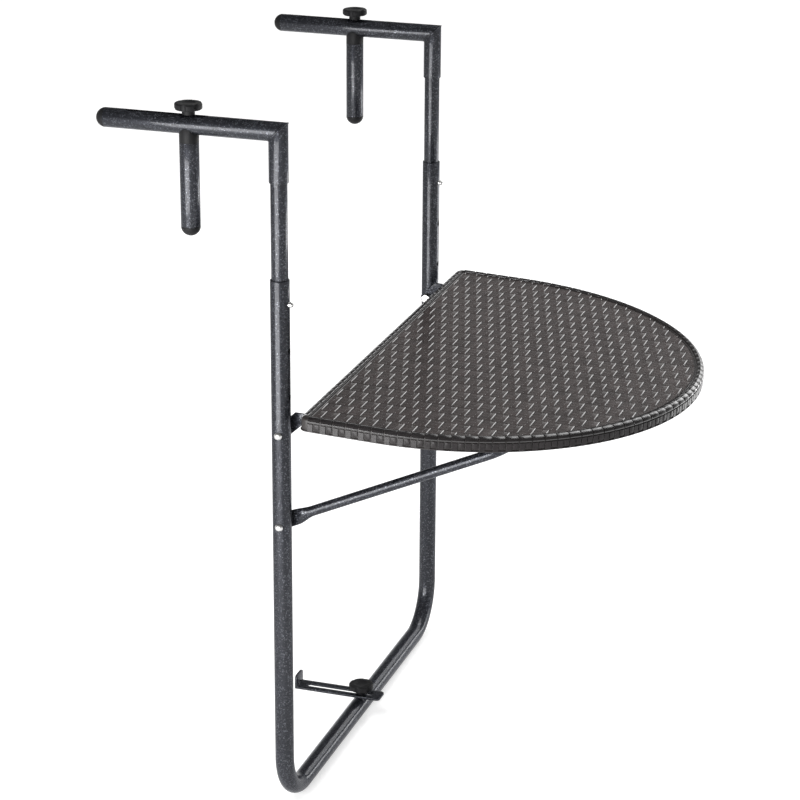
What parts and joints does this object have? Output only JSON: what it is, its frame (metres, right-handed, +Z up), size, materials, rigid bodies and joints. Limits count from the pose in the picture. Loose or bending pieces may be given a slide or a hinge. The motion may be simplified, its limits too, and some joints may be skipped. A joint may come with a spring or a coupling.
{
  "type": "balcony railing bar table",
  "caption": "Half-round fold-down table on a tube frame that hooks over a railing, with sliding hooks, clamp fingers and a stabiliser bar",
  "frame": {"origin": "midway between the two hooks, level with the undersides of their arms, in the plane of the post axes", "axes": "+X along the railing, +Y towards the railing, so -Y towards the person at the table, +Z up"},
  "size_m": [0.6, 0.6309, 0.8488],
  "materials": {
    "frame_coat": "hammertone powder coat, anthracite with fine silver flecks",
    "zinc": "zinc plated",
    "black_plastic": "moulded, satin",
    "table_plastic": "moulded with a woven relief, satin dark brown",
    "spring_steel": "oiled spring strip",
    "nylon": "natural"
  },
  "bodies": {
    "frame": {"lower_frame": "frame_coat", "hinge_bolts": "zinc", "hinge_nuts": "zinc", "hinge_washers": "nylon", "strut_bolts": "zinc", "strut_nuts": "zinc", "strut_washers": "nylon", "stabiliser_insert": "zinc"},
    "left_hook": {"left_arm_tube": "frame_coat", "left_sleeve_tube": "frame_coat", "left_inner_tube": "frame_coat", "left_arm_cap": "black_plastic", "left_snap_spring": "spring_steel"},
    "left_button": {"left_snap_button": "zinc"},
    "left_finger": {"left_finger_saddle": "black_plastic", "left_finger_tube": "frame_coat", "left_finger_cap": "black_plastic", "left_finger_nut": "zinc"},
    "left_clamp_knob": {"left_clamp_knob": "black_plastic", "left_clamp_stud": "zinc"},
    "right_hook": {"right_arm_tube": "frame_coat", "right_sleeve_tube": "frame_coat", "right_inner_tube": "frame_coat", "right_arm_cap": "black_plastic", "right_snap_spring": "spring_steel"},
    "right_button": {"right_snap_button": "zinc"},
    "right_finger": {"right_finger_saddle": "black_plastic", "right_finger_tube": "frame_coat", "right_finger_cap": "black_plastic", "right_finger_nut": "zinc"},
    "right_clamp_knob": {"right_clamp_knob": "black_plastic", "right_clamp_stud": "zinc"},
    "table": {"table_top": "table_plastic", "left_hinge_bracket": "frame_coat", "right_hinge_bracket": "frame_coat", "bracket_screws": "zinc", "left_strut_clip": "black_plastic", "right_strut_clip": "black_plastic", "clip_screws": "zinc"},
    "strut": {"strut_bracket": "frame_coat"},
    "stabiliser": {"stabiliser_bar": "frame_coat"},
    "stabiliser_knob": {"stabiliser_knob": "black_plastic", "stabiliser_stud": "zinc"}
  },
  "joints": [
    {"name": "left_hook_slide", "type": "slide", "parent": "frame", "child": "left_hook", "axis": [0, 0, 1], "range_m": [-0.109, 0], "deforming": ["left_snap_spring", "left_snap_button"]},
    {"name": "left_button_press", "type": "slide", "parent": "left_hook", "child": "left_button", "axis": [0, 1, 0], "range_m": [0, 0.0064], "stiffness_N_per_m": 900, "springref_m": -0.002, "deforming": ["left_snap_spring"]},
    {"name": "left_finger_slide", "type": "slide", "parent": "left_hook", "child": "left_finger", "axis": [0, 1, 0], "range_m": [-0.019, 0.071]},
    {"name": "left_clamp_knob_turn", "type": "hinge", "parent": "left_finger", "child": "left_clamp_knob", "pos_m": [-0.275, 0.1045, 0.022], "axis": [0, 0, 1], "continuous": true},
    {"name": "right_hook_slide", "type": "slide", "parent": "frame", "child": "right_hook", "axis": [0, 0, 1], "range_m": [-0.109, 0], "deforming": ["right_snap_spring", "right_snap_button"]},
    {"name": "right_button_press", "type": "slide", "parent": "right_hook", "child": "right_button", "axis": [0, 1, 0], "range_m": [0, 0.0064], "stiffness_N_per_m": 900, "springref_m": -0.002, "deforming": ["right_snap_spring"]},
    {"name": "right_finger_slide", "type": "slide", "parent": "right_hook", "child": "right_finger", "axis": [0, 1, 0], "range_m": [-0.019, 0.071]},
    {"name": "right_clamp_knob_turn", "type": "hinge", "parent": "right_finger", "child": "right_clamp_knob", "pos_m": [0.275, 0.1045, 0.022], "axis": [0, 0, 1], "continuous": true},
    {"name": "table_fold", "type": "hinge", "parent": "frame", "child": "table", "pos_m": [0, 0, -0.3365], "axis": [1, 0, 0], "range_deg": [0, 87.5], "deforming": ["left_strut_clip", "right_strut_clip"]},
    {"name": "strut_fold", "type": "hinge", "parent": "frame", "child": "strut", "pos_m": [0, 0, -0.4475], "axis": [1, 0, 0], "range_deg": [0, 114.5]},
    {"name": "stabiliser_slide", "type": "slide", "parent": "frame", "child": "stabiliser", "axis": [0, 1, 0], "range_m": [-0.068, 0.01]},
    {"name": "stabiliser_knob_turn", "type": "hinge", "parent": "frame", "child": "stabiliser_knob", "pos_m": [0, 0, -0.788], "axis": [0, 0, 1], "continuous": true}
  ],
  "couplings": [
    {"joint": "strut_fold", "follows": "table_fold", "ratio": 1.3086}
  ]
}
